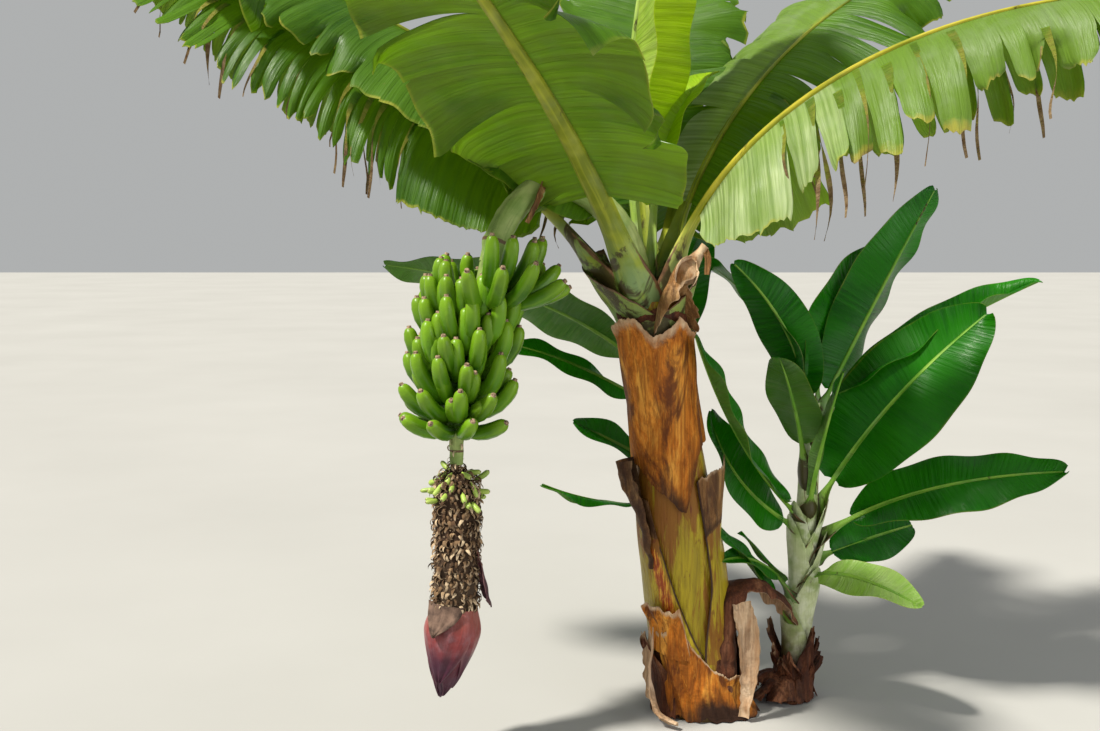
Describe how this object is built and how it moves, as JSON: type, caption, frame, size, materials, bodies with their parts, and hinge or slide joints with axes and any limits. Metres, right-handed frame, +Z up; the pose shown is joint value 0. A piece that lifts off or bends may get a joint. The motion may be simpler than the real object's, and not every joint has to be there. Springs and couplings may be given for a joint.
{
  "type": "banana plant",
  "caption": "Dwarf banana plant in fruit: a stout leaning stem of leaf sheaths, a crown of broad torn leaves, a hanging bunch with its bell, and leafy suckers at the foot.",
  "frame": {"origin": "centre of the flat cut under the main stem, at ground level", "axes": "+Z up; +X to the right and +Y to the back as the bunch is seen hanging on the left"},
  "size_m": [2.5526, 2.1917, 2.4237],
  "materials": {
    "sheath": "matt living and half dry leaf sheaths",
    "dry_sheath": "matt dry fibrous sheath",
    "dead_leaf": "matt dead leaf",
    "leaf": "waxy satin leaf",
    "young_leaf": "waxy satin young leaf",
    "stalk": "satin green stalk",
    "fruit": "satin unripe peel",
    "dead_flowers": "matt shrivelled flowers",
    "bell": "satin waxy bracts"
  },
  "bodies": {
    "root": {"back_sucker_leaf_dark": "leaf", "back_sucker_leaf_light": "leaf", "back_sucker_leaf_long": "leaf", "back_sucker_leaf_low": "leaf", "back_sucker_leaf_rear": "leaf", "back_sucker_stem": "stalk", "bell": "bell", "dead_flowers": "dead_flowers", "dead_leaf_arch": "dead_leaf", "dead_leaf_strip": "dry_sheath", "dry_foot_sheath": "dry_sheath", "dry_neck_sheath": "dry_sheath", "dry_sheath_wrap": "dry_sheath", "fruit_bunch": "fruit", "fruit_stalk": "stalk", "leaf_back": "leaf", "leaf_back_left_inner": "leaf", "leaf_back_left_outer": "leaf", "leaf_back_right_inner": "leaf", "leaf_back_right_outer": "leaf", "leaf_front_inner": "leaf", "leaf_front_outer": "leaf", "leaf_left_high_inner": "leaf", "leaf_left_high_outer": "leaf", "leaf_left_low_inner": "leaf", "leaf_left_low_outer": "leaf", "leaf_right_arching_inner": "leaf", "leaf_right_arching_outer": "leaf", "leaf_right_high_inner": "leaf", "leaf_right_high_outer": "leaf", "leaf_young": "young_leaf", "leaf_youngest": "young_leaf", "pseudostem": "sheath", "root_shoulder": "dry_sheath", "sheath_flap_left": "dry_sheath", "sheath_flap_right": "dry_sheath", "sucker_dead_sheaths": "dead_leaf", "sucker_leaf_back_left": "leaf", "sucker_leaf_back_low": "leaf", "sucker_leaf_front_left": "leaf", "sucker_leaf_left_dark": "leaf", "sucker_leaf_left_high": "leaf", "sucker_leaf_narrow": "leaf", "sucker_leaf_narrow_back": "leaf", "sucker_leaf_right_high": "leaf", "sucker_leaf_right_large": "leaf", "sucker_leaf_right_low": "leaf", "sucker_leaf_rolled": "leaf", "sucker_leaf_small_left": "leaf", "sucker_leaf_small_low": "leaf", "sucker_leaf_sunlit": "leaf", "sucker_leaf_upright": "leaf", "sucker_leaf_upright_back": "leaf", "sucker_stem": "stalk"}
  },
  "joints": []
}
